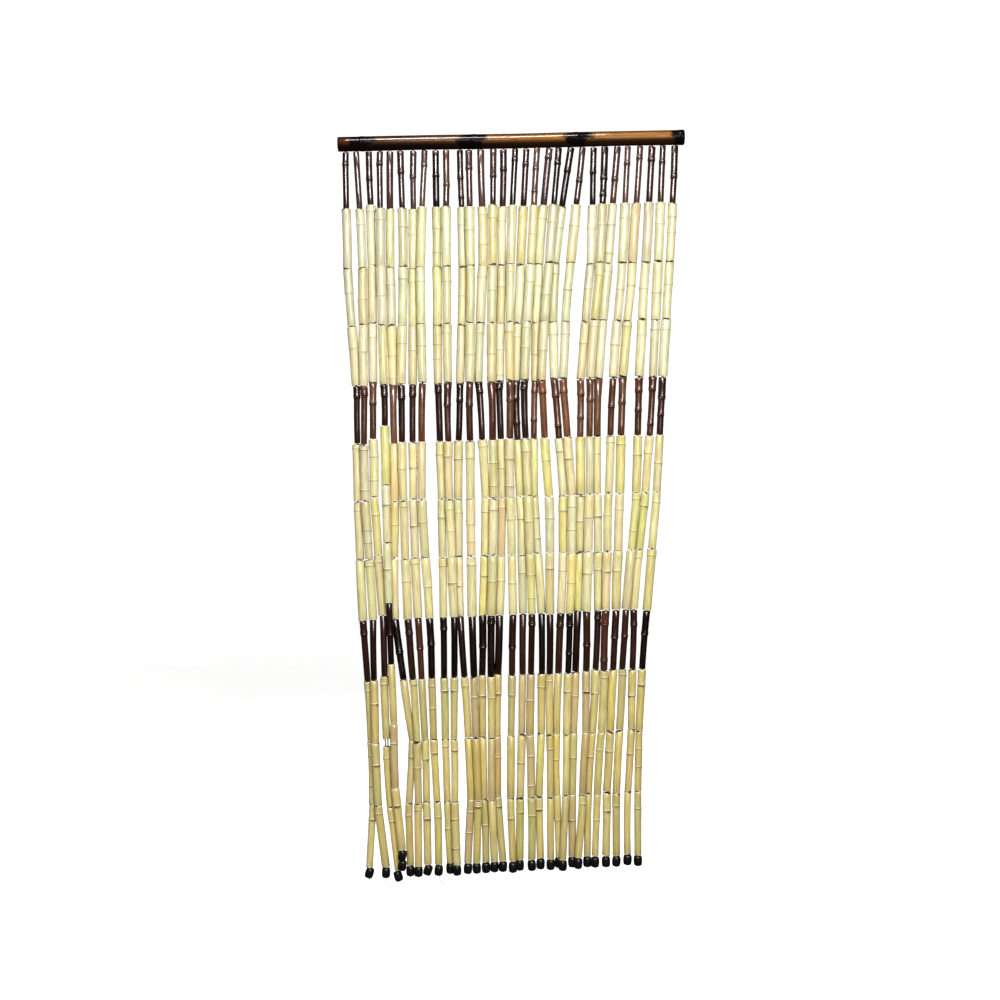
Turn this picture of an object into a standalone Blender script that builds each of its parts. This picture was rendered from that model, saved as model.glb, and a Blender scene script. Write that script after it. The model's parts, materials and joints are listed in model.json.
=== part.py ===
"""Bamboo door curtain: thirty strands of bamboo tubes on cords, hung from a scorched bamboo pole.

Run with: blender --background --python part.py, or from Blender's text editor.
Units are metres, +Z is up and the front faces -Y. The origin is the middle of the pole's axis.
Each strand is one closed body: twelve stiff tubes, the cord that shows between them and a foot bead.
"""

import math
import random
from collections import namedtuple

import bmesh
import bpy
from mathutils import Matrix, Vector

MM = 0.001

# Header pole: a stout culm, hung with its right end higher than its left.
POLE_LENGTH = 0.900
POLE_RADIUS = 0.019
POLE_TILT = math.radians(1.16)
POLE_SIDES = 20

# Edges sharper than this are shaded hard.
SHARP_ANGLE = math.radians(35)

# Strands
STRANDS = 30
STRAND_SIDES = 6
TUBES_PER_STRAND = 12
CORD_RADIUS = 0.0026
# The corners of a tube's polygon stand out this much, so that its mean width is the diameter.
CORNER_REACH = (math.pi / STRAND_SIDES) / math.sin(math.pi / STRAND_SIDES)
HANG_GAP = 0.0005
FIRST_NECK = 0.003
TUBE_GAP = 0.003
END_FLARE = 1.04
LEVEL_UNEVENNESS = 0.0022
THICKNESS_UNEVENNESS = 0.08
CLEAR_SPACE = 0.0040
SEED = 12

# Foot bead: a barrel, wider than the tube above it. The profile gives shares of its height and radius.
BEAD_RADIUS = 0.0112
BEAD_HEIGHT = 0.025
BEAD_GAP = 0.001
BeadSection = namedtuple("BeadSection", "name down width")
BEAD_PROFILE = (
    BeadSection("top", 0.0, 0.72),
    BeadSection("shoulder", 0.28, 1.0),
    BeadSection("heel", 0.72, 1.0),
    BeadSection("foot", 1.0, 0.72),
)

# Pole profile: distance from the left end and radius, in millimetres. Crests are the culm's nodes.
PoleSection = namedtuple("PoleSection", "name along radius")
POLE_PROFILE = (
    PoleSection("left sawn edge", 0.0, 17.6),
    PoleSection("left end", 2.0, 18.6),
    PoleSection("first node, left", 53.0, 18.5),
    PoleSection("first node, crest", 60.0, 20.2),
    PoleSection("first node, right", 66.0, 18.8),
    PoleSection("first joint, waist", 205.0, 18.5),
    PoleSection("second node, left", 342.0, 18.7),
    PoleSection("second node, crest", 349.0, 20.4),
    PoleSection("second node, right", 355.0, 18.9),
    PoleSection("second joint, waist", 480.0, 18.6),
    PoleSection("third node, left", 609.0, 18.8),
    PoleSection("third node, crest", 616.0, 20.4),
    PoleSection("third node, right", 622.0, 18.9),
    PoleSection("third joint, waist", 755.0, 18.6),
    PoleSection("last node, left", 880.0, 18.9),
    PoleSection("last node, crest", 889.0, 20.3),
    PoleSection("right end", 898.0, 19.0),
    PoleSection("right sawn edge", 900.0, 17.8),
)

# Tube rows, top to bottom. The foot of a row lies this many millimetres below the origin at the
# curtain's left and right edges, and in line between them.
TubeRow = namedtuple("TubeRow", "foot_left foot_right diameter finish")
TUBE_ROWS = (
    TubeRow(178, 161, 16.4, "dark"),
    TubeRow(334, 314, 23.2, "natural"),
    TubeRow(484, 464, 23.0, "natural"),
    TubeRow(638, 614, 23.2, "natural"),
    TubeRow(789, 764, 17.6, "dark"),
    TubeRow(940, 914, 21.8, "natural"),
    TubeRow(1091, 1064, 22.0, "natural"),
    TubeRow(1248, 1219, 22.2, "natural"),
    TubeRow(1404, 1373, 17.6, "dark"),
    TubeRow(1564, 1531, 19.6, "natural"),
    TubeRow(1727, 1692, 19.4, "natural"),
    TubeRow(1889, 1856, 19.2, "natural"),
)

# How each strand hangs: its distance to the right of the origin, in millimetres, at the pole, at the
# foot of every second tube row and at the last joint, where many strands kink. The side says whether
# it slips in front of close neighbours.
StrandLine = namedtuple("StrandLine", "side pole row2 row4 row6 row8 row10 row11 foot")
STRAND_LINES = (
    StrandLine("back", -430, -425, -403, -399, -385, -365, -360, -368),
    StrandLine("front", -403, -385, -382, -378, -358, -352, -345, -325),
    StrandLine("back", -370, -362, -360, -357, -334, -324, -315, -294),
    StrandLine("front", -341, -338, -330, -325, -316, -304, -300, -282),
    StrandLine("back", -315, -315, -307, -303, -303, -257, -265, -262),
    StrandLine("front", -288, -280, -285, -279, -268, -243, -240, -240),
    StrandLine("back", -254, -255, -256, -255, -242, -224, -220, -216),
    StrandLine("front", -225, -235, -230, -232, -212, -201, -192, -188),
    StrandLine("back", -196, -193, -190, -180, -176, -171, -166, -158),
    StrandLine("front", -169, -168, -164, -160, -147, -148, -146, -140),
    StrandLine("back", -133, -126, -133, -138, -132, -111, -104, -112),
    StrandLine("front", -110, -105, -107, -105, -101, -91, -85, -89),
    StrandLine("back", -79, -73, -85, -65, -74, -74, -70, -65),
    StrandLine("front", -46, -48, -51, -45, -51, -51, -50, -43),
    StrandLine("back", -20, -24, -30, -23, -30, -36, -35, -21),
    StrandLine("front", 11, -2, -3, -2, 5, 0, -1, 5),
    StrandLine("back", 40, 25, 13, 24, 31, 28, 24, 23),
    StrandLine("front", 68, 51, 35, 44, 54, 49, 53, 54),
    StrandLine("back", 100, 72, 63, 60, 80, 79, 73, 77),
    StrandLine("front", 124, 99, 79, 99, 101, 100, 102, 103),
    StrandLine("back", 156, 115, 113, 137, 130, 119, 120, 125),
    StrandLine("front", 186, 155, 135, 159, 152, 144, 142, 134),
    StrandLine("back", 215, 208, 181, 182, 174, 163, 160, 160),
    StrandLine("front", 244, 230, 205, 204, 196, 194, 185, 174),
    StrandLine("back", 277, 253, 228, 225, 227, 212, 202, 199),
    StrandLine("front", 304, 289, 265, 254, 246, 235, 224, 218),
    StrandLine("back", 336, 316, 291, 283, 274, 258, 249, 247),
    StrandLine("front", 367, 351, 333, 325, 298, 282, 274, 274),
    StrandLine("back", 395, 383, 370, 350, 320, 314, 304, 303),
    StrandLine("front", 426, 413, 393, 379, 353, 332, 330, 330),
)

# Oddities: one strand has a short dark tube, so all below it hangs higher, and a second foot bead.
# Another is caught up a little, down to a long tube that hangs low, with the cord bare below it.
SHORT_TUBE_STRAND = 4
SHORT_TUBE_ROW = 5
SHORT_TUBE_LIFT = 0.044
TWO_BEAD_STRAND = 4
BARE_CORD_STRAND = 3
BARE_CORD_ROW = 10
BARE_CORD_LIFT = 0.010
BARE_CORD_SAG = 0.013
BARE_CORD_LENGTH = 0.018

# Finishes: base colour, roughness and metallic value.
FINISHES = {
    "pole": ((0.260, 0.095, 0.022), 0.24, 0.0),
    "natural": ((0.760, 0.640, 0.310), 0.42, 0.0),
    "dark": ((0.055, 0.022, 0.014), 0.30, 0.0),
    "bead": ((0.012, 0.011, 0.010), 0.35, 0.0),
    "cord": ((0.030, 0.026, 0.022), 0.80, 0.0),
}

# A ring of a lofted body. Its finish covers the faces from it to the next ring.
Ring = namedtuple("Ring", "centre axis radius finish")


def clear_scene():
    """Remove every object, so that only the curtain is left."""
    for item in list(bpy.data.objects):
        bpy.data.objects.remove(item, do_unlink=True)


def make_materials():
    """Make one Principled material for each finish and return them by name."""
    materials = {}
    for name, (colour, roughness, metallic) in FINISHES.items():
        material = bpy.data.materials.new(name)
        material.use_nodes = True
        shader = material.node_tree.nodes["Principled BSDF"]
        shader.inputs["Base Color"].default_value = (*colour, 1.0)
        shader.inputs["Roughness"].default_value = roughness
        shader.inputs["Metallic"].default_value = metallic
        material.diffuse_color = (*colour, 1.0)
        materials[name] = material
    return materials


def add_circle(bm, ring, sides, turn):
    """Add one ring's circle of edges, square to its axis, and return the edges."""
    tilt = Vector((0, 0, 1)).rotation_difference(ring.axis).to_matrix().to_4x4()
    place = Matrix.Translation(ring.centre) @ tilt @ Matrix.Rotation(turn, 4, "Z")
    made = bmesh.ops.create_circle(bm, segments=sides, radius=ring.radius, matrix=place)
    return list({edge for vert in made["verts"] for edge in vert.link_edges})


def loft(name, rings, sides, turn, materials):
    """Bridge a run of rings into one closed body, fill its ends and return the object."""
    finishes = sorted({ring.finish for ring in rings})
    bm = bmesh.new()
    loops = [add_circle(bm, ring, sides, turn) for ring in rings]
    for ring, upper, lower in zip(rings, loops, loops[1:]):
        made = bmesh.ops.bridge_loops(bm, edges=upper + lower)
        for face in made["faces"]:
            face.material_index = finishes.index(ring.finish)
    for ring, loop in ((rings[0], loops[0]), (rings[-1], loops[-1])):
        made = bmesh.ops.edgeloop_fill(bm, edges=loop)
        for face in made["faces"]:
            face.material_index = finishes.index(ring.finish)
    bmesh.ops.recalc_face_normals(bm, faces=bm.faces)
    mesh = bpy.data.meshes.new(name)
    bm.to_mesh(mesh)
    bm.free()
    for finish in finishes:
        mesh.materials.append(materials[finish])
    mesh.shade_smooth()
    mesh.set_sharp_from_angle(angle=SHARP_ANGLE)
    item = bpy.data.objects.new(name, mesh)
    bpy.context.scene.collection.objects.link(item)
    return item


def build_pole(materials):
    """The header pole, lofted along X from its profile and then tilted."""
    along = Vector((1, 0, 0))
    rings = []
    for section in POLE_PROFILE:
        centre = along * (section.along * MM - POLE_LENGTH / 2)
        rings.append(Ring(centre, along, section.radius * MM, "pole"))
    pole = loft("header_pole", rings, POLE_SIDES, 0.0, materials)
    pole.rotation_euler = (0.0, -POLE_TILT, 0.0)
    return pole


def line_places(line):
    """Sideways place of a strand, in metres, at the pole and at the foot of every tube row.

    The rows between the tabled ones follow a smooth curve through their neighbours.
    """
    even_rows = (line.pole, line.row2, line.row4, line.row6, line.row8, line.row10, line.foot)
    known = [value * MM for value in even_rows]
    padded = [2 * known[0] - known[1], *known, 2 * known[-1] - known[-2]]
    places = [known[0]]
    for before, start, end, after in zip(padded, padded[1:], padded[2:], padded[3:]):
        places.append((9 * (start + end) - before - after) / 16)
        places.append(end)
    places[TUBES_PER_STRAND - 1] = line.row11 * MM
    return places


def row_drop(row, across, strand, rng):
    """Depth of a row's foot below the origin, for a strand this share of the way across."""
    drop = (row.foot_left + (row.foot_right - row.foot_left) * across) * MM
    drop += rng.uniform(-LEVEL_UNEVENNESS, LEVEL_UNEVENNESS)
    if strand == SHORT_TUBE_STRAND and TUBE_ROWS.index(row) + 1 >= SHORT_TUBE_ROW:
        drop -= SHORT_TUBE_LIFT
    if strand == BARE_CORD_STRAND:
        drop += BARE_CORD_SAG if TUBE_ROWS.index(row) + 1 >= BARE_CORD_ROW else -BARE_CORD_LIFT
    return drop


def half_step(spacing, clearance):
    """How far each of two strands steps out of line, in depth, to clear the other."""
    return math.sqrt(max(0.0, clearance**2 - spacing**2)) / 2


def depth_steps(places):
    """Depth of every strand at every level: close neighbours step to the front and to the back."""
    steps = []
    for strand, line in enumerate(STRAND_LINES):
        sign = -1 if line.side == "front" else 1
        own = [0.0]
        for level in range(1, TUBES_PER_STRAND + 1):
            meeting = TUBE_ROWS[level - 1 : level + 1]
            clearance = max(row.diameter for row in meeting) * MM * CORNER_REACH + CLEAR_SPACE
            near = [n for n in (strand - 1, strand + 1) if 0 <= n < STRANDS]
            gaps = [abs(places[strand][level] - places[n][level]) for n in near]
            own.append(sign * max(half_step(gap, clearance) for gap in gaps))
        steps.append(own)
    return steps


def pole_underside(x):
    """Height of the tilted pole's underside at this place."""
    return x * math.tan(POLE_TILT) - POLE_RADIUS / math.cos(POLE_TILT)


def strand_joints(strand, places, depths, rng):
    """The points where a strand can bend: its top under the pole and the foot of every tube."""
    across = strand / (STRANDS - 1)
    top = pole_underside(places[0]) - HANG_GAP - FIRST_NECK
    joints = [Vector((places[0], depths[0], top))]
    for level, row in enumerate(TUBE_ROWS, start=1):
        drop = row_drop(row, across, strand + 1, rng)
        joints.append(Vector((places[level], depths[level], -drop)))
    return joints


def neck_length(strand, row):
    """Length of bare cord below a tube."""
    bare = strand == BARE_CORD_STRAND and row == BARE_CORD_ROW
    return BARE_CORD_LENGTH if bare else TUBE_GAP


def tube_rings(joints, strand, rng):
    """Rings of the twelve tubes and of the cord that shows between them."""
    rings = []
    for row, tube in enumerate(TUBE_ROWS, start=1):
        upper, lower = joints[row - 1], joints[row]
        axis = (upper - lower).normalized()
        radius = tube.diameter * MM / 2 * CORNER_REACH
        radius *= rng.uniform(1 - THICKNESS_UNEVENNESS, 1 + THICKNESS_UNEVENNESS)
        above = 0.0 if row == 1 else TUBE_GAP / 2
        below = neck_length(strand, row) - TUBE_GAP / 2
        foot = lower + axis * below
        rings.append(Ring(upper - axis * above, axis, radius * END_FLARE, tube.finish))
        rings.append(Ring(foot, axis, radius, "cord"))
        if below > TUBE_GAP:
            rings.append(Ring(foot - axis * TUBE_GAP / 2, axis, CORD_RADIUS, "cord"))
        rings.append(Ring(lower, axis, CORD_RADIUS, "cord"))
    return rings


def bead_rings(foot, count):
    """Rings of the barrel beads that stop the cord, one below the other."""
    up = Vector((0, 0, 1))
    rings = []
    for number in range(count):
        top = foot - up * (TUBE_GAP / 2 + number * (BEAD_HEIGHT + BEAD_GAP))
        for section in BEAD_PROFILE:
            centre = top - up * (section.down * BEAD_HEIGHT)
            rings.append(Ring(centre, up, BEAD_RADIUS * section.width, "bead"))
    return rings


def build_strand(strand, places, depths, materials, rng):
    """One strand: the cord's top, twelve tubes and what stops them at the foot, as one closed body."""
    joints = strand_joints(strand, places, depths, rng)
    up = Vector((0, 0, 1))
    rings = [Ring(joints[0] + up * FIRST_NECK, up, CORD_RADIUS, "cord")]
    rings += tube_rings(joints, strand + 1, rng)
    rings += bead_rings(joints[-1], 2 if strand + 1 == TWO_BEAD_STRAND else 1)
    turn = rng.uniform(0, 2 * math.pi / STRAND_SIDES)
    return loft(f"strand_{strand + 1:02d}", rings, STRAND_SIDES, turn, materials)


def build_curtain():
    """Build the pole and every strand."""
    clear_scene()
    materials = make_materials()
    rng = random.Random(SEED)
    build_pole(materials)
    places = [line_places(line) for line in STRAND_LINES]
    depths = depth_steps(places)
    for strand in range(STRANDS):
        build_strand(strand, places[strand], depths[strand], materials, rng)


build_curtain()
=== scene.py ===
"""Looks of a bamboo door curtain: a scorched header pole and its strands of threaded bamboo tubes.

Every strand is dressed from the rings of its own solid, so its tubes, cord and beads sit where the solids do.
Sizes are in metres, +Z is up and the front faces -Y.
"""

import sys
import json
import logging
import math
import random
from collections.abc import Callable
from dataclasses import dataclass
from enum import Enum
from functools import reduce

import bmesh
import bpy
import numpy as np
from mathutils import Matrix, Vector


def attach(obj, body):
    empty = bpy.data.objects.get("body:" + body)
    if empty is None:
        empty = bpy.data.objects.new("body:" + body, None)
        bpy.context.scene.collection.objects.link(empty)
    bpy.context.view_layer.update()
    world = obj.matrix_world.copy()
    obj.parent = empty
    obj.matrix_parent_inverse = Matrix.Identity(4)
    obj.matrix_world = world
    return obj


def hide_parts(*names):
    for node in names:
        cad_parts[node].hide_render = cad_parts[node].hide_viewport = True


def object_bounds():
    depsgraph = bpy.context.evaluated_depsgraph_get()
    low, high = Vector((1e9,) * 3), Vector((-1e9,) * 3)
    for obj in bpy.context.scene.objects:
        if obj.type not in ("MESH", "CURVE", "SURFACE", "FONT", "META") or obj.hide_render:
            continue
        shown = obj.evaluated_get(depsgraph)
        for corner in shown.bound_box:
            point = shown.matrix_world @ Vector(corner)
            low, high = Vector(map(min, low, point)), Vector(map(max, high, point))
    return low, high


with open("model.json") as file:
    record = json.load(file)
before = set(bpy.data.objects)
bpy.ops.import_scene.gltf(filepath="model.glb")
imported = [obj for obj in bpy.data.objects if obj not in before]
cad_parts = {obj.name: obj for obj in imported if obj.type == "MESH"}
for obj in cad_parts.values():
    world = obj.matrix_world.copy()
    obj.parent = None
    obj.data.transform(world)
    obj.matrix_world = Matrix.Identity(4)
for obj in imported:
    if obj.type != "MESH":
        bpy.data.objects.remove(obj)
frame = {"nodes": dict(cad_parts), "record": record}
CAD_BOX = [list(corner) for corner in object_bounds()]

LOG = logging.getLogger("curtain")
BODY = "root"
SAME_PLACE = 1e-5
THINNEST_TUBE = 0.0045
STRAND_SIDES = 6
BEAD_RINGS = 4
SHARP = 50
CORD_SHARP = 60
NOTHING_SHARP = 180
LAYERS = {1: ("FLOAT", "value"), 3: ("FLOAT_VECTOR", "vector"), 4: ("FLOAT_COLOR", "color")}

Pair = tuple[float, float]
Pairs = tuple[Pair, ...]
Triple = tuple[float, float, float]
Colour = Triple
Item = bpy.types.Object
Mesh = bpy.types.Mesh
Material = bpy.types.Material
Socket = bpy.types.NodeSocket
Sockets = bpy.types.bpy_prop_collection


class Slot(Enum):
    """The record's material slots."""

    POLE = "scorched_pole"
    NATURAL = "natural_bamboo"
    DARK = "dark_bamboo"
    BEAD = "black_bead"
    CORD = "cord"


class Pick(Enum):
    """What a pick in edit mode selects."""

    VERTS = "VERT"
    FACES = "FACE"


# Tools for modelling


def select_only(*items: Item) -> None:
    """Select some objects and nothing else, with the first of them active."""
    bpy.ops.object.select_all(action="DESELECT")
    for item in items:
        item.select_set(True)
    bpy.context.view_layer.objects.active = items[0]


def at_height(place: Vector, *heights: float) -> bool:
    """Whether a place lies at one of some heights."""
    return min(abs(place.z - height) for height in heights) < SAME_PLACE


def off_axis(place: Vector) -> float:
    """Distance of a place from the Z axis."""
    return math.hypot(place.x, place.y)


class Bench:
    """One mesh object in edit mode, with picks of its vertices and faces by place."""

    def __init__(self, item: Item) -> None:
        """Take a mesh object at the origin."""
        self.item = item

    def __enter__(self) -> "Bench":
        """Select the object alone and open it in edit mode.

        Returns:
            The bench itself.
        """
        select_only(self.item)
        bpy.ops.object.mode_set(mode="EDIT")
        return self

    def __exit__(self, *_: object) -> None:
        """Go back to object mode and drop the selection."""
        bpy.ops.object.mode_set(mode="OBJECT")
        self.item.select_set(False)

    def pick(self, kind: Pick, test: Callable[[Vector], bool]) -> None:
        """Select only the vertices, or the faces by their centres, that pass a test.

        Args:
            kind: Vertices or faces.
            test: Says whether a place is picked.
        """
        bpy.ops.mesh.select_mode(type=kind.value)
        bpy.ops.mesh.select_all(action="DESELECT")
        mesh = bmesh.from_edit_mesh(self.item.data)
        if kind is Pick.VERTS:
            for vert in mesh.verts:
                vert.select = test(vert.co)
        else:
            for face in mesh.faces:
                face.select = test(face.calc_center_median())
        mesh.select_flush_mode()
        bmesh.update_edit_mesh(self.item.data)

    def cut(self, heights: list[float]) -> None:
        """Cut rings of edges square to Z.

        Args:
            heights: Height of each ring.
        """
        bpy.ops.mesh.select_mode(type="VERT")
        for height in heights:
            bpy.ops.mesh.select_all(action="SELECT")
            bpy.ops.mesh.bisect(plane_co=(0.0, 0.0, height), plane_no=(0.0, 0.0, 1.0))

    def swell(self, height: float, factor: float) -> None:
        """Widen or narrow the ring of vertices at a height, about the Z axis."""
        self.pick(Pick.VERTS, lambda place: at_height(place, height))
        bpy.ops.transform.resize(value=(factor, factor, 1.0), center_override=(0.0, 0.0, height))

    def pick_middles(self, *ends: float) -> None:
        """Select the middle faces of the flat ends at some heights."""
        self.pick(Pick.FACES, lambda place: at_height(place, *ends) and off_axis(place) < SAME_PLACE)

    def inset_ends(self, wall: float, *ends: float) -> None:
        """Inset flat ends and leave their middles selected.

        Args:
            wall: Width left round each middle.
            ends: Heights of the ends.
        """
        self.pick_middles(*ends)
        bpy.ops.mesh.inset(thickness=wall, depth=0.0)
        self.pick_middles(*ends)

    def ease_edge(self, height: float, radius: float, width: float) -> None:
        """Bevel the sharp outer edge of an end.

        Args:
            height: Height of the end.
            radius: Radius of its outer edge.
            width: Width of the bevel.
        """
        inner = radius - SAME_PLACE
        self.pick(Pick.VERTS, lambda place: at_height(place, height) and off_axis(place) > inner)
        bpy.ops.mesh.bevel(offset=width, segments=1, affect="EDGES")

    def open_through(self, length: float, radius: float, wall: float, edge: float) -> None:
        """Run a bore right through a piece that stands on the origin, and ease its outer edges.

        Args:
            length: The piece's height.
            radius: Radius of its ends.
            wall: Width left round the bore.
            edge: Width of the eased edges.
        """
        self.inset_ends(wall, 0.0, length)
        bpy.ops.mesh.bridge_edge_loops()
        for height in (0.0, length):
            self.ease_edge(height, radius, edge)


def upright_cylinder(name: str, sides: int, radius: float, length: float) -> Item:
    """Add a cylinder that stands on the origin, with its place in its mesh.

    Args:
        name: The object's name.
        sides: Number of sides.
        radius: Its radius.
        length: Its height along Z.

    Returns:
        The new object.
    """
    bpy.ops.object.select_all(action="DESELECT")
    bpy.ops.mesh.primitive_cylinder_add(
        vertices=sides, radius=radius, depth=length, end_fill_type="NGON", location=(0, 0, length / 2)
    )
    item = bpy.context.object
    item.name = name
    item.data.name = name
    bpy.ops.object.transform_apply(location=True, rotation=True, scale=True)
    return item


def smooth(item: Item, degrees: float) -> None:
    """Shade an object smooth, with edges sharper than an angle kept sharp.

    Args:
        item: The object.
        degrees: The angle.
    """
    select_only(item)
    bpy.ops.object.shade_smooth_by_angle(angle=math.radians(degrees))
    item.select_set(False)


def joined(name: str, items: list[Item]) -> Item:
    """Join objects into one.

    Args:
        name: Name of the joined object.
        items: The objects, all at the origin.

    Returns:
        The joined object.
    """
    select_only(*items)
    if len(items) > 1:
        bpy.ops.object.join()
    whole = bpy.context.view_layer.objects.active
    whole.name = name
    whole.data.name = name
    whole.select_set(False)
    return whole


def linked(name: str, data: bpy.types.ID) -> Item:
    """Put a new object into the scene.

    Args:
        name: Its name.
        data: Its mesh, curve, light or camera.

    Returns:
        The object.
    """
    item = bpy.data.objects.new(name, data)
    bpy.context.scene.collection.objects.link(item)
    return item


def vertex_places(mesh: Mesh) -> np.ndarray:
    """Places of a mesh's vertices.

    Args:
        mesh: The mesh.

    Returns:
        One row for each vertex.
    """
    places = np.empty(len(mesh.vertices) * 3)
    mesh.vertices.foreach_get("co", places)
    return places.reshape(-1, 3)


def copy_with_places(pattern: Item, name: str, places: np.ndarray) -> Item:
    """Copy a pattern piece, with its own mesh and new vertex places.

    Args:
        pattern: The piece that is copied.
        name: The copy's name.
        places: One row for each vertex.

    Returns:
        The copy, linked into the scene.
    """
    mesh = pattern.data.copy()
    mesh.name = name
    mesh.vertices.foreach_set("co", places.ravel())
    mesh.update()
    return linked(name, mesh)


def paint(mesh: Mesh, name: str, values: np.ndarray) -> None:
    """Store values as a named attribute, its kind told by the width of a row.

    Args:
        mesh: The mesh.
        name: The attribute's name.
        values: One row for each vertex.
    """
    kind, field = LAYERS[values.shape[1]]
    mesh.attributes.new(name, kind, "POINT").data.foreach_set(field, values.astype(np.float32).ravel())


def coat(item: Item, *materials: Material) -> None:
    """Give an object its materials.

    Args:
        item: The object.
        materials: One for each slot, in order.
    """
    item.data.materials.clear()
    for material in materials:
        item.data.materials.append(material)


def finish_piece(item: Item, slot: Slot, *nodes: str) -> None:
    """Let a piece ride on the curtain, hide the solids that it stands for, and report it with its slot.

    Args:
        item: The finished piece.
        slot: Its material slot.
        nodes: The solids that it dresses.
    """
    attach(item, BODY)
    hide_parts(*nodes)
    LOG.info("%s: %d faces, %s", item.name, len(item.data.polygons), slot.value)


# Reading the solids


@dataclass(frozen=True)
class Ring:
    """One ring of a lofted solid."""

    centre: Vector
    radius: float


@dataclass(frozen=True)
class TubeSpan:
    """Where one tube hangs, from the solid it dresses."""

    top: Ring
    foot: Ring
    row: int


@dataclass(frozen=True)
class StrandSpans:
    """A strand as its solid gives it: the cord's top, the tubes and the rings of each bead."""

    node: str
    cord_top: Vector
    tubes: list[TubeSpan]
    beads: list[list[Ring]]


def solid_rings(node: str, along: Vector) -> list[Ring]:
    """Walk a lofted solid ring by ring, from the end that lies lowest along a direction.

    Args:
        node: The solid's node.
        along: Direction of the walk.

    Returns:
        The rings in order.
    """
    mesh = frame["nodes"][node].data
    places: dict[tuple[int, ...], int] = {}
    keys = [tuple(round(part / SAME_PLACE) for part in vert.co) for vert in mesh.vertices]
    merged = [places.setdefault(key, len(places)) for key in keys]
    points = [Vector(key) * SAME_PLACE for key in places]
    beside: list[set[int]] = [set() for _ in points]
    for edge in mesh.edges:
        one, other = (merged[v] for v in edge.vertices)
        beside[one].add(other)
        beside[other].add(one)
    lowest = min(point.dot(along) for point in points)
    ring = {i for i, point in enumerate(points) if point.dot(along) < lowest + 3 * SAME_PLACE}
    seen = set(ring)
    rings = []
    while ring:
        centre = sum((points[i] for i in ring), Vector()) / len(ring)
        radius = sum((points[i] - centre).length for i in ring) / len(ring)
        rings.append(Ring(centre, radius))
        ring = {n for i in ring for n in beside[i]} - seen
        seen |= ring
    return rings


def rounded(ring: Ring) -> Ring:
    """The round ring with the mean width of a strand's many-sided one."""
    half_side = math.pi / STRAND_SIDES
    return Ring(ring.centre, ring.radius * math.sin(half_side) / half_side)


def read_strand(node: str) -> StrandSpans:
    """Split a strand's rings into its tubes and its beads, at the necks of bare cord.

    Args:
        node: The strand's node.

    Returns:
        The strand's spans, from top to foot.
    """
    rings = solid_rings(node, Vector((0, 0, -1)))
    runs: list[list[Ring]] = [[]]
    for ring in rings[1:]:
        if ring.radius < THINNEST_TUBE:
            runs.append([])
        else:
            runs[-1].append(ring)
    runs = [run for run in runs if run]
    tubes = [TubeSpan(rounded(run[0]), rounded(run[-1]), row) for row, run in enumerate(runs[:-1], start=1)]
    beads = [runs[-1][i : i + BEAD_RINGS] for i in range(0, len(runs[-1]), BEAD_RINGS)]
    return StrandSpans(node, rings[0].centre, tubes, beads)


# Finishes


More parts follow.
